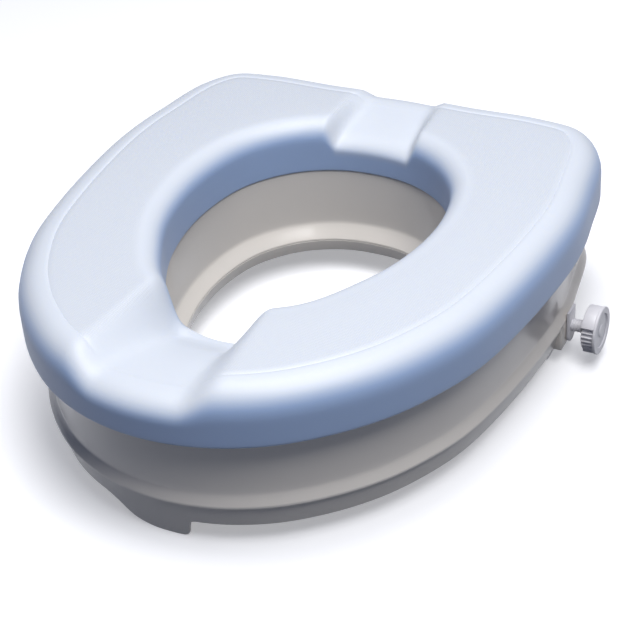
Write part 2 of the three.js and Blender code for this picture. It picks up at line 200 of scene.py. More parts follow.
def block(low, high, bevel=0, segments=3):
    """A box between two corners with rounded edges."""
    bm = bmesh.new()
    low, high = Vector(low), Vector(high)
    bmesh.ops.create_cube(bm, size=1)
    bmesh.ops.scale(bm, vec=high - low, verts=bm.verts)
    bmesh.ops.translate(bm, vec=(low + high) / 2, verts=bm.verts)
    if bevel:
        bmesh.ops.bevel(bm, geom=bm.edges[:], offset=bevel, affect="EDGES", segments=segments,
                        profile=0.5, material=-1)
    return bm


def lathe(profile, steps=64):
    """A closed round piece about +Z, from a profile of (radius, height) that starts and ends on the axis."""
    bm = bmesh.new()
    verts = [bm.verts.new((radius, 0, height)) for radius, height in profile]
    edges = [bm.edges.new(pair) for pair in zip(verts, verts[1:])]
    bmesh.ops.spin(bm, geom=verts + edges, cent=(0, 0, 0), axis=(0, 0, 1), dvec=(0, 0, 0),
                   angle=math.tau, steps=steps, use_merge=True, use_duplicate=False)
    bmesh.ops.remove_doubles(bm, verts=bm.verts, dist=1e-4)
    bmesh.ops.recalc_face_normals(bm, faces=bm.faces)
    return bm


def prism(points, low, high, bevel=0, segments=2):
    """A flat outline of (x, y) made into a solid from one height to another."""
    bm = bmesh.new()
    base = bm.faces.new([bm.verts.new((x, y, low)) for x, y in points])
    grown = bmesh.ops.extrude_face_region(bm, geom=[base])["geom"]
    lifted = [part for part in grown if isinstance(part, bmesh.types.BMVert)]
    bmesh.ops.translate(bm, vec=(0, 0, high - low), verts=lifted)
    bmesh.ops.recalc_face_normals(bm, faces=bm.faces)
    if bevel:
        rims = [e for e in bm.edges if abs(e.verts[0].co.z - e.verts[1].co.z) < 1e-6]
        bmesh.ops.bevel(bm, geom=rims, offset=bevel, affect="EDGES", segments=segments,
                        profile=0.5, material=-1)
    return bm


def joined(*parts):
    """Several bmeshes as one."""
    whole = bmesh.new()
    for part in parts:
        mesh = bpy.data.meshes.new("part")
        part.to_mesh(mesh)
        part.free()
        whole.from_mesh(mesh)
        bpy.data.meshes.remove(mesh)
    return whole


def finished(bm, name, body, material, replaces=(), angle=40):
    """Turns a bmesh in millimetres into a piece in metres that rides on a body."""
    bmesh.ops.scale(bm, vec=(MM, MM, MM), verts=bm.verts)
    mesh = bpy.data.meshes.new(name)
    bm.to_mesh(mesh)
    bm.free()
    mesh.shade_smooth()
    mesh.set_sharp_from_angle(angle=math.radians(angle))
    mesh.materials.append(material)
    piece = bpy.data.objects.new(name, mesh)
    bpy.context.collection.objects.link(piece)
    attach(piece, body)
    if replaces:
        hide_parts(*replaces)
    return piece


def cut_away(piece, cutters):
    """Cuts solids, given as bmeshes in millimetres, out of a piece and keeps the result as its mesh."""
    tools = []
    for bm in cutters:
        bmesh.ops.scale(bm, vec=(MM, MM, MM), verts=bm.verts)
        mesh = bpy.data.meshes.new("cutter")
        bm.to_mesh(mesh)
        bm.free()
        tool = bpy.data.objects.new("cutter", mesh)
        bpy.context.collection.objects.link(tool)
        modifier = piece.modifiers.new("cut", "BOOLEAN")
        modifier.operation = "DIFFERENCE"
        modifier.solver = "EXACT"
        modifier.object = tool
        tools.append(tool)
    bpy.context.view_layer.update()
    evaluated = piece.evaluated_get(bpy.context.evaluated_depsgraph_get())
    result = bpy.data.meshes.new_from_object(evaluated)
    piece.modifiers.clear()
    piece.data = result
    for tool in tools:
        bpy.data.objects.remove(tool)


def clamp_place(bm, side, x):
    """Lays a round piece made about +Z onto a clamp's axis, pointing outwards, starting at x."""
    turn = Matrix.Rotation(side * math.pi / 2, 4, "Y")
    axis_y, axis_z = clamp_axis()
    bmesh.ops.transform(bm, matrix=Matrix.Translation((side * x, axis_y, axis_z)) @ turn, verts=bm.verts)
    return bm


def clamp_axis():
    low, high = corners("right_hand_wheel")
    return (low.y + high.y) / 2, (low.z + high.z) / 2


def side_block(side, low, high, bevel):
    """A box on a clamp, whose x runs outwards on both sides."""
    xs = sorted((side * low[0], side * high[0]))
    return block((xs[0], low[1], low[2]), (xs[1], high[1], high[2]), bevel)


# ---- colours and materials -------------------------------------------------------------------


def srgb(code):
    """A hex colour as the linear RGBA that shaders take."""
    parts = [int(code[i:i + 2], 16) / 255 for i in (1, 3, 5)]
    return (*(c / 12.92 if c <= 0.04045 else ((c + 0.055) / 1.055) ** 2.4 for c in parts), 1.0)


def shade(colour, factor):
    return (*(c * factor for c in colour[:3]), 1.0)


def add_node(tree, kind, inputs=(), **settings):
    """Adds a shader node; an input may be a value or another node's output socket."""
    made = tree.nodes.new(kind)
    for name, value in settings.items():
        setattr(made, name, value)
    for socket, value in dict(inputs).items():
        if isinstance(value, bpy.types.NodeSocket):
            tree.links.new(value, made.inputs[socket])
        else:
            made.inputs[socket].default_value = value
    return made


def new_material(name, **surface):
    """A material with one Principled surface, whose constants sit on its own sockets."""
    material = bpy.data.materials.new(name)
    material.use_nodes = True
    tree = material.node_tree
    tree.nodes.clear()
    inputs = {key.replace("_", " "): value for key, value in surface.items()}
    shader = add_node(tree, "ShaderNodeBsdfPrincipled", inputs)
    add_node(tree, "ShaderNodeOutputMaterial", {"Surface": shader.outputs[0]})
    place = add_node(tree, "ShaderNodeTexCoord").outputs["Object"]
    return material, tree, shader, place


def mottled(tree, place, colour, amount, size_mm):
    """A colour that drifts a little over patches of the given size."""
    noise = add_node(tree, "ShaderNodeTexNoise",
                     {"Vector": place, "Scale": 1 / (size_mm * MM), "Detail": 3.0})
    mix = add_node(tree, "ShaderNodeMix", {"Factor": noise.outputs["Fac"]}, data_type="RGBA")
    mix.inputs["A"].default_value = shade(colour, 1 - amount)
    mix.inputs["B"].default_value = shade(colour, 1 + amount)
    return mix.outputs["Result"]


def foam_material(colours, sizes):
    """Self-skinned polyurethane foam: a soft sheen, barely mottled, with a fine grid moulded in the top.

    The grid of such a mould has a pitch of about 1 mm. It is drawn at the panel's setting, a little
    coarser, so that it still shows from a distance. The top is painted paler than the sides: a painted
    highlight on the lit top and painted shade on the sides, both of one blue foam.
    """
    material, tree, shader, place = new_material(
        "self_skinned_polyurethane_foam", Roughness=0.46, IOR=1.49, Subsurface_Weight=0.12,
        Subsurface_Radius=(0.004, 0.005, 0.008), Subsurface_Scale=0.6, Sheen_Weight=0.08, Sheen_Roughness=0.4,
    )
    split = add_node(tree, "ShaderNodeSeparateXYZ", {"Vector": place})
    lines = []
    for axis in ("X", "Y"):
        phase = add_node(tree, "ShaderNodeMath", {0: split.outputs[axis], 1: math.tau / sizes.grid_pitch},
                         operation="MULTIPLY")
        wave = add_node(tree, "ShaderNodeMath", {0: phase.outputs[0]}, operation="COSINE")
        lines.append(wave.outputs[0])
    grid = add_node(tree, "ShaderNodeMath", {0: lines[0], 1: lines[1]}, operation="MAXIMUM")
    thread = add_node(tree, "ShaderNodeMapRange",
                      {"Value": grid.outputs[0], "From Min": 0.2, "From Max": 1.0})
    panel = add_node(tree, "ShaderNodeAttribute", attribute_name="panel").outputs["Fac"]
    pale = add_node(tree, "ShaderNodeAttribute", attribute_name="pale").outputs["Fac"]
    pressed = add_node(tree, "ShaderNodeMath", {0: panel, 1: thread.outputs[0]}, operation="MULTIPLY")
    # Painted light: side is the shaded copy of the foam's colour and top the lit, paler copy; the pale mask
    # mixes them.
    side, top = (mottled(tree, place, colour, 0.012, 60) for colour in (colours.foam, colours.foam_lit_top))
    body = add_node(tree, "ShaderNodeMix", {"Factor": pale}, data_type="RGBA")
    tree.links.new(side, body.inputs["A"])
    tree.links.new(top, body.inputs["B"])
    lined = add_node(tree, "ShaderNodeMix", {"Factor": pressed.outputs[0]}, data_type="RGBA")
    tree.links.new(body.outputs["Result"], lined.inputs["A"])
    lined.inputs["B"].default_value = shade(colours.foam_lit_top, 0.92)
    tree.links.new(lined.outputs["Result"], shader.inputs["Base Color"])
    skin = add_node(tree, "ShaderNodeTexNoise", {"Vector": place, "Scale": 1 / (1.2 * MM), "Detail": 2.0})
    grain = add_node(tree, "ShaderNodeBump",
                     {"Height": skin.outputs["Fac"], "Strength": 0.05, "Distance": 0.4 * MM})
    bump = add_node(tree, "ShaderNodeBump",
                    {"Height": pressed.outputs[0], "Strength": 0.35, "Distance": 0.4 * MM,
                     "Normal": grain.outputs["Normal"]}, invert=True)
    tree.links.new(bump.outputs["Normal"], shader.inputs["Normal"])
    return material


def plastic_material(name, colour, roughness, grain_mm, grain, mottle=0.02):
    """Moulded plastic: an even colour, a fine grain from the mould and slow waves from shrinkage."""
    material, tree, shader, place = new_material(
        name, Roughness=roughness, IOR=1.49, Subsurface_Weight=0.05,
        Subsurface_Radius=(0.003, 0.003, 0.003), Subsurface_Scale=0.5,
    )
    tree.links.new(mottled(tree, place, colour, mottle, 45), shader.inputs["Base Color"])
    waves = add_node(tree, "ShaderNodeTexNoise", {"Vector": place, "Scale": 1 / (38 * MM), "Detail": 1.0})
    slow = add_node(tree, "ShaderNodeBump",
                    {"Height": waves.outputs["Fac"], "Strength": 0.12, "Distance": MM})
    fine = add_node(tree, "ShaderNodeTexNoise",
                    {"Vector": place, "Scale": 1 / (grain_mm * MM), "Detail": 2.0})
    bump = add_node(tree, "ShaderNodeBump",
                    {"Height": fine.outputs["Fac"], "Strength": grain, "Distance": 0.2 * MM,
                     "Normal": slow.outputs["Normal"]})
    tree.links.new(bump.outputs["Normal"], shader.inputs["Normal"])
    spread = add_node(tree, "ShaderNodeMapRange", {"Value": waves.outputs["Fac"], "To Min": roughness - 0.04,
                                                   "To Max": roughness + 0.05})
    tree.links.new(spread.outputs[0], shader.inputs["Roughness"])
    return material


def steel_material(colour):
    """Zinc-plated steel: bright, slightly blue, with the plating's fine cloudy grain."""
    material, tree, shader, place = new_material("zinc_plated_steel", Metallic=1.0, Roughness=0.32)
    tree.links.new(mottled(tree, place, colour, 0.08, 3), shader.inputs["Base Color"])
    grain = add_node(tree, "ShaderNodeTexNoise", {"Vector": place, "Scale": 1 / (0.6 * MM), "Detail": 2.0})
    bump = add_node(tree, "ShaderNodeBump",
                    {"Height": grain.outputs["Fac"], "Strength": 0.15, "Distance": 0.1 * MM})
    tree.links.new(bump.outputs["Normal"], shader.inputs["Normal"])
    return material


def rubber_material(colour):
    """Moulded rubber: dull and dark, with the bloom and grain of a vulcanised surface."""
    material, tree, shader, place = new_material("vulcanised_rubber", Roughness=0.78, IOR=1.52)
    tree.links.new(mottled(tree, place, colour, 0.12, 9), shader.inputs["Base Color"])
    grain = add_node(tree, "ShaderNodeTexNoise", {"Vector": place, "Scale": 1 / (0.9 * MM), "Detail": 3.0})
    bump = add_node(tree, "ShaderNodeBump",
                    {"Height": grain.outputs["Fac"], "Strength": 0.3, "Distance": 0.3 * MM})
    tree.links.new(bump.outputs["Normal"], shader.inputs["Normal"])
    return material


def board_material(colour):
    """Birch plywood: long soft grain lines along the seat."""
    material, tree, shader, place = new_material("birch_plywood", Roughness=0.62, IOR=1.5)
    narrow = add_node(tree, "ShaderNodeMapping", {"Vector": place, "Scale": (1.0, 0.08, 1.0)})
    grain = add_node(tree, "ShaderNodeTexNoise",
                     {"Vector": narrow.outputs[0], "Scale": 1 / (5 * MM), "Detail": 4.0, "Distortion": 0.6})
    ramp = add_node(tree, "ShaderNodeMix", {"Factor": grain.outputs["Fac"]}, data_type="RGBA")
    ramp.inputs["A"].default_value = shade(colour, 0.75)
    ramp.inputs["B"].default_value = shade(colour, 1.1)
    tree.links.new(ramp.outputs["Result"], shader.inputs["Base Color"])
    return material


def floor_material(colour):
    """A matt, evenly back-lit studio floor with a very faint unevenness."""
    material, tree, shader, place = new_material("matt_studio_paint", Roughness=0.9, Specular_IOR_Level=0.1,
                                                 Emission_Color=colour, Emission_Strength=0.48)
    tree.links.new(mottled(tree, place, colour, 0.006, 400), shader.inputs["Base Color"])
    return material


def material_for(name):
    """The named material, made once from the panel's colours."""
    colours = bpy.context.scene.raised_seat_colours
    sizes = bpy.context.scene.raised_seat_sizes
    makers = {
        "self_skinned_polyurethane_foam": lambda: foam_material(colours, sizes),
        "gloss_polypropylene": lambda: plastic_material("gloss_polypropylene", colours.shell, 0.2, 1.6, 0.04),
        "satin_nylon": lambda: plastic_material("satin_nylon", colours.clamp, 0.36, 0.8, 0.15),
        "zinc_plated_steel": lambda: steel_material(colours.steel),
        "vulcanised_rubber": lambda: rubber_material(colours.rubber),
        "birch_plywood": lambda: board_material(colours.board),
        "matt_studio_paint": lambda: floor_material(colours.floor),
    }
    return bpy.data.materials.get(name) or makers[name]()


# ---- settings ----------------------------------------------------------------------------------


def colour_setting(name, description, code):
    return bpy.props.FloatVectorProperty(name=name, description=description, subtype="COLOR", size=4,
                                         min=0, max=1, default=srgb(code))


def length_setting(name, description, millimetres):
    return bpy.props.FloatProperty(name=name, description=description, subtype="DISTANCE", unit="LENGTH",
                                   default=millimetres * MM)


class RaisedSeatSizes(bpy.types.PropertyGroup):
    """Sizes of the details that the frame doesn't fix."""

    grid_pitch: length_setting("Grid pitch", "Spacing of the fine grid moulded in the cushion's top", 1.5)
    panel_inset: length_setting("Panel inset", "Distance of the moulded line from the seat's edge", 22.0)
    thread_pitch: length_setting("Thread pitch", "Spacing of the ridges on the clamp screws", 2.0)
    steps: bpy.props.IntProperty(name="Steps", description="Facets round the rim", default=300, min=60)
    grips: bpy.props.IntProperty(name="Grip ribs", description="Ribs in each hollow of a hand-wheel",
                                 default=6)


class RaisedSeatColours(bpy.types.PropertyGroup):
    """Colours of the finishes."""

    # Foam and Foam top are one blue foam painted twice: the sides' colour holds painted shade, the top's
    # paler colour a painted highlight.
    foam: colour_setting("Foam", "Skin of the foam cushion's sides", "#9DB4D8")
    foam_lit_top: colour_setting("Foam top", "The paler skin of the cushion's top", "#CED3DB")
    shell: colour_setting("Shell", "White plastic of the base", "#E0DAD2")
    clamp: colour_setting("Clamp", "Plastic of the screws, jaws and hand-wheels", "#E0DEE2")
    steel: colour_setting("Steel", "Screws, nuts and clips", "#B4B7BA")
    rubber: colour_setting("Rubber", "Rest pads and jaw pads", "#4A4B4E")
    board: colour_setting("Board", "Board inside the cushion", "#C9AE84")
    floor: colour_setting("Floor", "Studio floor", "#E2E2E4")


# ---- cushion -----------------------------------------------------------------------------------


# The two hygiene recesses: x of the middle, y of the seat's edge and of the hole's, then at each of
# those edges half the width, half the width of a side's slope and the depth, and the power by which
# the depth grows from one edge to the other.
RECESSES = {
    "front": (-5, SEAT_HALF[0][1], HOLE_HALF[0][1], (43, 13, 11), (31, 14, 33), 2),
    "back": (0, SEAT_HALF[-1][1], HOLE_HALF[-1][1], (28.5, 6.5, 3.5), (33, 5, 15.5), 1),
}


def recess(x, y):
    """How far a place is inside a hygiene recess, from 0 to 1, and how deep the recess is there."""
    centre, edge, hole, at_edge, at_hole, power = RECESSES["front" if y < 0 else "back"]
    reach = min(max((y - edge) / (hole - edge), 0), 1)
    half, slope = (at_edge[k] + (at_hole[k] - at_edge[k]) * reach for k in (0, 1))
    deep = at_edge[2] + (at_hole[2] - at_edge[2]) * reach**power
    inside = 1 - smooth(half - slope, half + slope, abs(x - centre))
    return inside * smooth(40, 80, abs(y)), deep


class RAISEDSEAT_OT_cushion(bpy.types.Operator):
    """Makes the foam cushion, with its recesses and the thin line moulded round the grid"""

    bl_idname = "raised_seat.cushion"
    bl_label = "Cushion"

    def execute(self, context):
        sizes = context.scene.raised_seat_sizes
        seam = RIM - sizes.panel_inset / MM
        groove, crown = 0.7, 0.8          # half the seam's width, and how far the top swells
        scoop = 7                         # how far the front recess slides out of the hole
        unmoved = 5                       # height of the foot that the recesses leave alone
        section = rounded([
            (RIM, FOAM_UNDER, 2.5), (RIM, 0, 19.5),
            (seam + groove, 0, 0), (seam, 0.45, 0), (seam - groove, 0, 0),
            (0, 0, 15), (0, FOAM_UNDER, 1.5),
        ], longest=4)

        def place(share, across, depth):
            flat = rim_point(share, across)
            inside, deep = recess(flat.x, flat.y)
            above = max(0, 1 - depth / (FOAM_UNDER - unmoved))
            swell = crown * above * smooth(0, 30, across) * smooth(RIM, RIM - 34, across)
            if depth < 1 and abs(across - seam) < 0.1:
                depth *= 1 - inside
            if flat.y < 0:
                flat = rim_point(share, across + scoop * inside * above * smooth(45, 0, across))
            return Vector((flat.x, flat.y, TOP - depth - inside * deep * above + swell))

        shares = [k / sizes.steps for k in range(sizes.steps)]
        ring = rim_ring(section, shares, place)
        for name in ("panel", "pale"):
            ring.verts.layers.float.new(name)
        layers = ring.verts.layers.float
        across_layer, panel_layer, lit_top_layer = layers["across"], layers["panel"], layers["pale"]
        for vert in ring.verts:
            across = vert[across_layer]
            inside, deep = recess(vert.co.x, vert.co.y)
            level = TOP - vert.co.z - inside * deep
            within = smooth(13, 17, across) * smooth(seam, seam - 2, across)
            vert[panel_layer] = within * smooth(0.3, 0, inside)
            # Painted light: the pale mask is 1 on the level top, which takes the lit colour, and falls to 0
            # down the roundings and sides, which take the painted shade.
            vert[lit_top_layer] = smooth(13, 2, level)
        foam = material_for("self_skinned_polyurethane_foam")
        piece = finished(ring, "foam_cushion", "seat", foam, ["seat_cushion"], angle=60)
        return {"FINISHED"}


# ---- base --------------------------------------------------------------------------------------


def on_rim(share, across, depth):
    flat = rim_point(share, across)
    return Vector((flat.x, flat.y, TOP - depth))


class RAISEDSEAT_OT_shell(bpy.types.Operator):
    """Makes the white shell under the cushion: outer wall, flange, deck, inner wall and ledge"""

    bl_idname = "raised_seat.shell"
    bl_label = "Base shell"

    def execute(self, context):
        steps = context.scene.raised_seat_sizes.steps
        section = rounded([
            (81.3, 93.2, 0.4), (81.3, 91.4, 1.2), (76.4, 85.2, 3.5), (75.8, DECK, 1.5),
            (1.4, DECK, 1.5), (2.9, 86, 5), (-5.2, 96, 1.5), (-5.4, SHELL_UNDER, 0.3),
            (-2.4, SHELL_UNDER, 0.4), (5.9, 87, 5), (4.4, DECK + 3, 1),
            (72.8, DECK + 3, 1), (73.4, 93.2, 0.5),
        ], longest=4)
        shares = [k / steps for k in range(steps)]
        finished(rim_ring(section, shares, on_rim), "riser_shell", "seat",
                 material_for("gloss_polypropylene"), ["base_shell"], angle=35)
        finished(self.ribs(), "riser_ribs", "seat", material_for("gloss_polypropylene"),
                 ["base_shell"])
        return {"FINISHED"}

    def ribs(self):
        """The stiffening ribs inside the shell, left out where the clamps' lugs and jaws stand."""
        rib_count, half_thick, beside_clamp = 20, 1.2, 30
        parts = []
        for k in range(rib_count):
            share = k / rib_count
            inner, outer = on_rim(share, 4.9, SHELL_UNDER), on_rim(share, 71.5, SHELL_UNDER)
            span = outer - inner
            rib = block((0, -half_thick, 0), (span.length, half_thick, SHELL_UNDER - DECK - 3), 0.3, 1)
            turn = Matrix.Rotation(math.atan2(span.y, span.x), 4, "Z")
            bmesh.ops.transform(rib, matrix=Matrix.Translation(inner) @ turn, verts=rib.verts)
            if abs(inner.y + span.y / 2 - clamp_axis()[0]) > beside_clamp or abs(outer.x) < 120:
                parts.append(rib)
            else:
                rib.free()
        return joined(*parts)


def skirt_across(depth):
    """Where the skirt's outer face stands at a depth: it leans in towards its foot."""
    return RIM - SKIRT_INSET - (depth - SKIRT_TOP) * SKIRT_LEAN


# Control points of the front tab's flanks, as x and the drop below the skirt.
TAB_LEFT = ((-48, 0), (-34, 2.5), (-33, 10), (-23, 13.3), (-14, 15.5), (-6, 15.5))
TAB_RIGHT = ((10, 15.5), (16.5, 15.5), (17, 9.5), (18, 3.5), (18.6, 0), (24, 0))


def tab_drop(x):
    """The front tab's drop below the skirt at x: a long ogee at the left, a steep flank at the right."""
    if x <= TAB_LEFT[-1][0]:
        flank = bezier(TAB_LEFT[:4]) + bezier(TAB_LEFT[3:])[1:]
    else:
        flank = bezier(TAB_RIGHT[:3]) + bezier(TAB_RIGHT[2:4])[1:] + bezier(TAB_RIGHT[3:])[1:]
    return float(np.interp(x, [p[0] for p in flank], [p[1] for p in flank]))


def bezier(points, steps=10):
    """Points along a Bezier curve of any degree."""
    walked = []
    for i in range(steps + 1):
        row = [Vector(p) for p in points]
        while len(row) > 1:
            row = [a.lerp(b, i / steps) for a, b in zip(row, row[1:])]
        walked.append(tuple(row[0]))
    return walked


class RAISEDSEAT_OT_rim_frame(bpy.types.Operator):
    """Makes the lower frame: skirt, front tab, inner lip, lugs and the guides of the jaws"""

    bl_idname = "raised_seat.rim_frame"
    bl_label = "Rim frame"

    def execute(self, context):
        steps = context.scene.raised_seat_sizes.steps
        foot, thick = skirt_across(SKIRT_UNDER), PLASTIC_WALL
        section = rounded([
            (foot, SKIRT_UNDER, 1), (skirt_across(SKIRT_TOP), SKIRT_TOP, 0.4),
            (skirt_across(SKIRT_TOP) - thick, SKIRT_TOP, 0.4), (skirt_across(97.5) - thick, 97.5, 0),
            (-5.5, 97.5, 0.4), (-3.6, LIP_UNDER, 1), (-1.2, LIP_UNDER, 1), (-2.6, FRAME_UNDER, 1),
            (skirt_across(FRAME_UNDER) - thick, FRAME_UNDER, 1), (foot - thick, SKIRT_UNDER, 1),
        ], longest=5)

        def place(share, across, depth):
            flat = rim_point(share, across)
            if across > 60 and depth > FRAME_UNDER + 1 and flat.y < 0:
                low = (depth - FRAME_UNDER - 1) / (SKIRT_UNDER - FRAME_UNDER - 1)
                drop = tab_drop(flat.x) * low
                leant = rim_point(share, across - drop * SKIRT_LEAN)
                return Vector((leant.x, leant.y, TOP - depth - drop))
            return Vector((flat.x, flat.y, TOP - depth))

        # Closer steps along the tab, counted from the front in parts of the way round.
        parts, tab_from, tab_to = 1200, -62, 38
        fine = [k / parts for k in range(tab_from, tab_to)]
        even = [k / steps for k in range(steps) if tab_to <= k / steps * parts <= parts + tab_from - 1]
        shares = [s for s in fine if s >= 0] + even + [s % 1 for s in fine if s < 0]
        plastic = material_for("gloss_polypropylene")
        piece = finished(rim_ring(section, shares, place), "rim_ring", "seat", plastic,
                         ["rim_frame"], angle=35)
        cut_away(piece, [self.slot(side) for side in SIDES.values()])
        for hand, side in SIDES.items():
            finished(self.lug(side), f"{hand}_lug", "seat", plastic, ["rim_frame"])
        return {"FINISHED"}

    def slot(self, side):
        """What is cut out of the skirt and the frame for the jaw's travel."""
        low, high = corners("right_jaw")
        return side_block(side, (141, low.y - 0.3, TOP - 120), (LUG_IN, high.y + 0.3, TOP - 92), 0)

    def lug(self, side):
        """The boss that holds the nut, and the two walls that the jaw runs between."""
        axis_y = clamp_axis()[0]
        low, high = corners("right_jaw")
        half, under = 15, 113.5
        boss = side_block(side, (LUG_IN, axis_y - half, TOP - under),
                          (LUG_OUT, axis_y + half, TOP - SKIRT_TOP), 1.2)
        walls = [side_block(side, (139, y, TOP - 106), (163.2, y + PLASTIC_WALL, TOP - 89.5), 0.5)
                 for y in (low.y - PLASTIC_WALL - 0.3, high.y + 0.3)]
        return joined(boss, *walls)


class RAISEDSEAT_OT_rest_pads(bpy.types.Operator):
    """Makes the four rubber pads that stand on the bowl's rim, each with anti-slip ribs"""

    bl_idname = "raised_seat.rest_pads"
    bl_label = "Rest pads"

    def execute(self, context):
        for k, share in enumerate((4 / 80, 30 / 80, 50 / 80, 76 / 80)):
            name = f"rest_pad_{k + 1}"
            low, high = corners(name)
            middle = (low + high) / 2
            ahead = rim_point(share + 0.0125, RIM / 2) - rim_point(share - 0.0125, RIM / 2)
            pad = self.pad(high.z - low.z)
            turn = Matrix.Rotation(math.atan2(ahead.y, ahead.x), 4, "Z")
            spot = Matrix.Translation((middle.x, middle.y, low.z))
            bmesh.ops.transform(pad, matrix=spot @ turn, verts=pad.verts)
            rubber = material_for("vulcanised_rubber")
            finished(pad, f"anti_slip_pad_{k + 1}", "seat", rubber, [name])
        return {"FINISHED"}

    def pad(self, thick):
        long, wide, skin = 56.0, 17.0, 0.7
        reach, radius = long / 2 - wide / 2, wide / 2
        ends = [(s * reach + s * radius * math.cos(a), s * radius * math.sin(a))
                for s in (1, -1) for a in (math.radians(d) for d in range(-90, 91, 10))]
        ribs = [block((x - 0.9, -wide / 2 + 1.5, 0), (x + 0.9, wide / 2 - 1.5, skin + 0.2), 0.25, 2)
                for x in (i * 3.6 for i in range(-6, 7))]
        return joined(prism(ends, skin, thick, 0.3), *ribs)


# ---- fasteners ---------------------------------------------------------------------------------


class RAISEDSEAT_OT_rim_screws(bpy.types.Operator):
    """Makes the six cross-recessed screws that hold the rim frame to the shell"""

    bl_idname = "raised_seat.rim_screws"
    bl_label = "Rim screws"

    def execute(self, context):
        for k in range(1, 7):
            low, high = corners(f"rim_screw_{k}")
            piece = finished(self.screw(low, high), f"frame_screw_{k}", "seat",
                             material_for("zinc_plated_steel"), [f"rim_screw_{k}"])
            middle = (low + high) / 2
            foot = Vector((middle.x, middle.y, low.z))
            arms = [block(foot - Vector((x, y, 1)), foot + Vector((x, y, 0.8)))
                    for x, y in ((2.2, 0.45), (0.45, 2.2))]
            cut_away(piece, arms)
        return {"FINISHED"}

    def screw(self, low, high):
        """A pan head with a ridged shank above it."""
        radius, head = (high.x - low.x) / 2, 1.2
        shank, ridge, pitch = 1.35, 0.35, 1.4
        profile = [(0, 0), (radius - 1, 0), (radius - 0.3, 0.25), (radius, head * 0.7), (radius - 0.1, head)]
        turns = int((high.z - low.z - head - 2) / pitch)
        for i in range(turns):
            base = head + 0.2 + i * pitch
            profile += [(shank, base), (shank + ridge, base + pitch / 2), (shank, base + pitch * 0.98)]
        profile += [(shank * 0.8, high.z - low.z - 0.8), (0, high.z - low.z)]
        screw = lathe(profile, 32)
        middle = (low + high) / 2
        bmesh.ops.translate(screw, vec=(middle.x, middle.y, low.z), verts=screw.verts)
        return screw


class RAISEDSEAT_OT_inner_pieces(bpy.types.Operator):
    """Gives the pieces inside the seat their finishes: board, seat screws, nuts and clips"""

    bl_idname = "raised_seat.inner_pieces"
    bl_label = "Inner pieces"

    def execute(self, context):
        finishes = {"seat_board": "birch_plywood"}
        finishes.update({f"seat_screw_{k}": "zinc_plated_steel" for k in range(1, 7)})
        for hand in SIDES:
            finishes[f"{hand}_clamp_nut"] = "zinc_plated_steel"
            finishes[f"{hand}_screw_clip"] = "zinc_plated_steel"
        for name, finish in finishes.items():
            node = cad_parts[name]
            for place in node.material_slots:
                place.material = material_for(finish)
        return {"FINISHED"}


# ---- clamps ------------------------------------------------------------------------------------


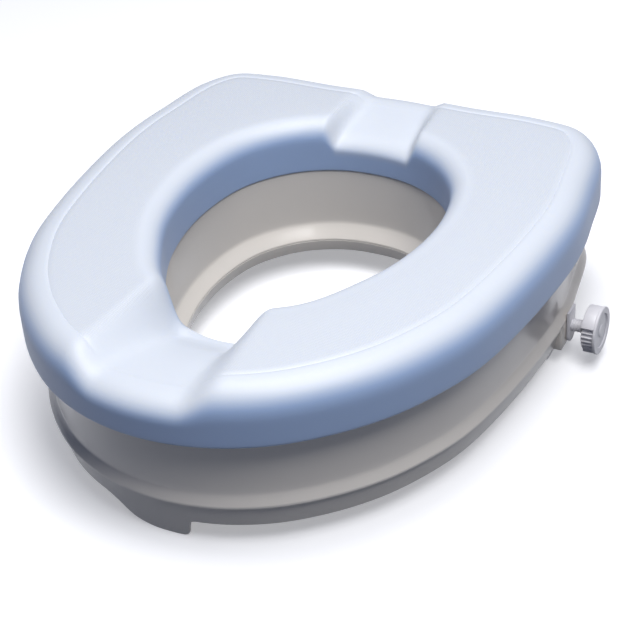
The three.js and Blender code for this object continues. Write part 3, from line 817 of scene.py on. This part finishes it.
class RAISEDSEAT_OT_clamps(bpy.types.Operator):
    """Makes both clamps: strap, screw, hand-wheel, jaw and jaw pad"""

    bl_idname = "raised_seat.clamps"
    bl_label = "Clamps"

    def execute(self, context):
        sizes = context.scene.raised_seat_sizes
        nylon = material_for("satin_nylon")
        for hand, side in SIDES.items():
            turning, sliding = f"{hand}_screw_turn", f"{hand}_jaw_slide"
            finished(self.strap(side), f"{hand}_strap", "seat", nylon,
                     [f"{hand}_clamp_strap"])
            finished(self.screw(side, sizes.thread_pitch / MM), f"{hand}_threaded_screw", turning, nylon,
                     [f"{hand}_clamp_screw"], angle=60)
            finished(self.wheel(side, sizes.grips), f"{hand}_grip_wheel", turning, nylon,
                     [f"{hand}_hand_wheel"], angle=35)
            finished(self.jaw(side), f"{hand}_gripping_jaw", sliding, nylon, [f"{hand}_jaw"])
            finished(self.jaw_pad(side), f"{hand}_ribbed_pad", sliding, material_for("vulcanised_rubber"),
                     [f"{hand}_jaw_pad"])
        return {"FINISHED"}

    def strap(self, side):
        """A thin upright plate with a round foot, pierced by the screw."""
        low, high = corners("right_clamp_strap")
        half = (high.y - low.y) / 2
        axis_y = clamp_axis()[0]
        foot = [(half * math.cos(a), low.z + half + half * math.sin(a))
                for a in (math.radians(-d) for d in range(0, 181, 12))]
        ring = [(half, high.z), *foot, (-half, high.z)]
        plate = prism(ring, low.x, high.x, 0.4)
        upright = Matrix(((0, 0, side, 0), (1, 0, 0, axis_y), (0, 1, 0, 0), (0, 0, 0, 1)))
        bmesh.ops.transform(plate, matrix=upright, verts=plate.verts)
        bmesh.ops.recalc_face_normals(plate, faces=plate.faces)
        return plate

    def screw(self, side, pitch):
        """The round screw with its thread, and the slim neck that the jaw sits on."""
        low, high = corners("right_clamp_screw")
        radius, neck, depth = (high.z - low.z) / 2, 3.4, 0.45
        shoulder, length, step = LUG_IN - 0.2 - low.x, high.x - low.x, 0.25
        count = int((length - shoulder) / step)
        profile = [(0, 0), (neck - 0.5, 0), (neck, 0.5), (neck, shoulder)]
        profile += [(radius, shoulder + 0.3 + i * step) for i in range(count)]
        profile += [(radius, length), (0, length)]
        bm = lathe(profile, 64)
        for vert in bm.verts:
            out = vert.co.xy.length
            if out > radius - 0.1 and shoulder + 0.4 < vert.co.z < length - 0.5:
                turn = math.atan2(vert.co.y, vert.co.x) / math.tau
                wave = abs((vert.co.z / pitch + turn) % 1 - 0.5) * 2
                fall = depth * smooth(0.25, 0.75, wave)
                vert.co.xy *= (out - fall) / out
        return clamp_place(bm, side, low.x)

    def wheel(self, side, grips):
        """A hand-wheel of two broad lobes with ribbed hollows between them, on a thin outer disc."""
        low, high = corners("right_hand_wheel")
        radius, width, disc = (high.z - low.z) / 2, high.x - low.x, 2.0
        ring = []
        for k in range(720):
            angle = math.radians(k / 2)
            r = self.wheel_radius(k / 2, radius - 0.3, grips)
            ring.append((-side * r * math.cos(angle), -r * math.sin(angle)))
        core = prism(ring, 0, width - disc + 0.1, 0.6, 3)
        hub, face = 5.0, radius - 4.5
        rim = lathe([(0, width - disc), (radius - 0.4, width - disc), (radius, width - disc + 0.4),
                     (radius, width - 0.5), (radius - 0.5, width), (face, width), (face - 0.6, width - 0.9),
                     (hub, width - 0.9), (hub - 0.4, width - 0.2), (0, width - 0.2)], 96)
        collar = lathe([(0, 0), (hub + 1.4, 0), (hub + 1.9, 0.4), (hub + 1.9, 1.5), (0, 1.5)], 48)
        return clamp_place(joined(core, rim, collar), side, low.x)

    def wheel_radius(self, degrees, radius, grips):
        """The outline, measured from the top forwards: two lobes, and ribs in the hollows between them."""
        centre, half, flank, hollow = 14, 44, 5, 3.0
        from_lobe = abs((degrees - centre + 90) % 180 - 90)
        sunk = smooth(half, half + flank, from_lobe)
        rib = 0.0
        if sunk == 1:
            pitch = 2 * (90 - half - flank) / (grips + 0.4)
            rib = 1.1 * max(0, -math.cos((90 - from_lobe) / pitch * math.tau)) ** 0.6
        return radius - hollow * sunk + rib

    def jaw(self, side):
        """The arm that hangs below the skirt and pushes the rubber pad onto the bowl."""
        low, high = corners("right_jaw")
        axis_y = clamp_axis()[0]
        toe = 2
        ring = [(low.x, high.z), (low.x, 1.5), (low.x + 1.5, 0), (high.x - toe - 1.5, 0), (high.x - toe, 1.5),
                (high.x, TOP - 112), (high.x, high.z)]
        arm = prism(ring, -(high.y - low.y) / 2, (high.y - low.y) / 2, 0.8)
        upright = Matrix(((side, 0, 0, 0), (0, 0, 1, axis_y), (0, 1, 0, 0), (0, 0, 0, 1)))
        bmesh.ops.transform(arm, matrix=upright, verts=arm.verts)
        bmesh.ops.recalc_face_normals(arm, faces=arm.faces)
        return arm

    def jaw_pad(self, side):
        """A rubber pad with level ribs on its gripping face."""
        low, high = corners("right_jaw_pad")
        back = side_block(side, (low.x + 1.1, low.y, low.z), high, 0.5)
        pitch, count = 2.9, 6
        ribs = [side_block(side, (low.x, low.y + 1, low.z + 0.8 + i * pitch),
                           (low.x + 1.6, high.y - 1, low.z + 2.4 + i * pitch), 0.35) for i in range(count)]
        return joined(back, *ribs)


# ---- stage -------------------------------------------------------------------------------------

# The camera looks at AIM from this far away, this far round from the front, and this far up.
AIM = Vector((70.5, -95.7, TOP - 5.8))
DISTANCE, AZIMUTH, ELEVATION, ROLL, LENS = 1067.7, 28.3, 34.1, -4.19, 96.54


def camera_axes():
    a, e, roll = (math.radians(v) for v in (AZIMUTH, ELEVATION, ROLL))
    back = Vector((math.sin(a) * math.cos(e), -math.cos(a) * math.cos(e), math.sin(e)))
    right = Vector((math.cos(a), math.sin(a), 0))
    up = back.cross(right)
    turned_right = right * math.cos(roll) + up * math.sin(roll)
    turned_up = up * math.cos(roll) - right * math.sin(roll)
    return turned_right, turned_up, back


def add_light(name, place, size, power, aim=(0, 0, 60)):
    data = bpy.data.lights.new(name, "AREA")
    data.shape = "RECTANGLE"
    data.size, data.size_y = size
    data.energy = power
    light = bpy.data.objects.new(name, data)
    bpy.context.collection.objects.link(light)
    light.location = Vector(place) * MM
    light.rotation_euler = (light.location - Vector(aim) * MM).to_track_quat("Z", "Y").to_euler()
    return light


class RAISEDSEAT_OT_stage(bpy.types.Operator):
    """Makes the floor, the soft lights and the camera"""

    bl_idname = "raised_seat.stage"
    bl_label = "Stage"

    def execute(self, context):
        scene = context.scene
        floor = bmesh.new()
        bmesh.ops.create_grid(floor, x_segments=2, y_segments=2, size=6000 * MM)
        mesh = bpy.data.meshes.new("studio_floor")
        floor.to_mesh(mesh)
        floor.free()
        mesh.materials.append(material_for("matt_studio_paint"))
        ground = bpy.data.objects.new("studio_floor", mesh)
        context.collection.objects.link(ground)

        ground.visible_diffuse = False
        scene.world = self.world()
        add_light("overhead_softbox", (0, 60, 1600), (0.8, 0.8), 16.5)
        add_light("front_softbox", (640, -420, 1500), (0.8, 0.8), 16.5)

        right, up, back = camera_axes()
        data = bpy.data.cameras.new("view")
        data.sensor_width = 36
        data.lens = LENS
        camera = bpy.data.objects.new("view", data)
        context.collection.objects.link(camera)
        turn = Matrix((right, up, back)).transposed().to_4x4()
        camera.matrix_world = Matrix.Translation((AIM + back * DISTANCE) * MM) @ turn
        scene.camera = camera
        scene.view_settings.view_transform = "Standard"
        return {"FINISHED"}

    def world(self):
        """A pale room that is darker below than above."""
        world = bpy.data.worlds.new("studio")
        world.use_nodes = True
        tree = world.node_tree
        upwards = add_node(tree, "ShaderNodeSeparateXYZ",
                           {"Vector": add_node(tree, "ShaderNodeTexCoord").outputs["Generated"]}).outputs["Z"]
        strength = add_node(tree, "ShaderNodeMapRange", {"Value": upwards, "From Min": -0.3, "From Max": 0.3,
                                                         "To Min": 0.05, "To Max": 0.19})
        background = tree.nodes["Background"]
        background.inputs["Color"].default_value = srgb("#C9D8FF")
        tree.links.new(strength.outputs[0], background.inputs["Strength"])
        return world


# ---- panel and registration ----------------------------------------------------------------------

OPERATORS = (
    RAISEDSEAT_OT_stage, RAISEDSEAT_OT_cushion, RAISEDSEAT_OT_shell, RAISEDSEAT_OT_rim_frame,
    RAISEDSEAT_OT_rest_pads, RAISEDSEAT_OT_rim_screws, RAISEDSEAT_OT_inner_pieces, RAISEDSEAT_OT_clamps,
)


class RAISEDSEAT_PT_panel(bpy.types.Panel):
    """Lists the settings and the pieces"""

    bl_idname = "RAISEDSEAT_PT_panel"
    bl_label = "Raised Seat"
    bl_space_type = "VIEW_3D"
    bl_region_type = "UI"
    bl_category = "Raised Seat"

    def draw(self, context):
        for group in (context.scene.raised_seat_sizes, context.scene.raised_seat_colours):
            for name in type(group).__annotations__:
                self.layout.prop(group, name)
        for operator in OPERATORS:
            self.layout.operator(operator.bl_idname)


CLASSES = (RaisedSeatSizes, RaisedSeatColours, *OPERATORS, RAISEDSEAT_PT_panel)


def register():
    for each in CLASSES:
        bpy.utils.register_class(each)
    bpy.types.Scene.raised_seat_sizes = bpy.props.PointerProperty(type=RaisedSeatSizes)
    bpy.types.Scene.raised_seat_colours = bpy.props.PointerProperty(type=RaisedSeatColours)


def unregister():
    del bpy.types.Scene.raised_seat_colours
    del bpy.types.Scene.raised_seat_sizes
    for each in reversed(CLASSES):
        bpy.utils.unregister_class(each)


def main():
    register()
    for operator in OPERATORS:
        group, name = operator.bl_idname.split(".")
        getattr(getattr(bpy.ops, group), name)()
    bpy.context.view_layer.update()


if __name__ == "__main__":
    main()
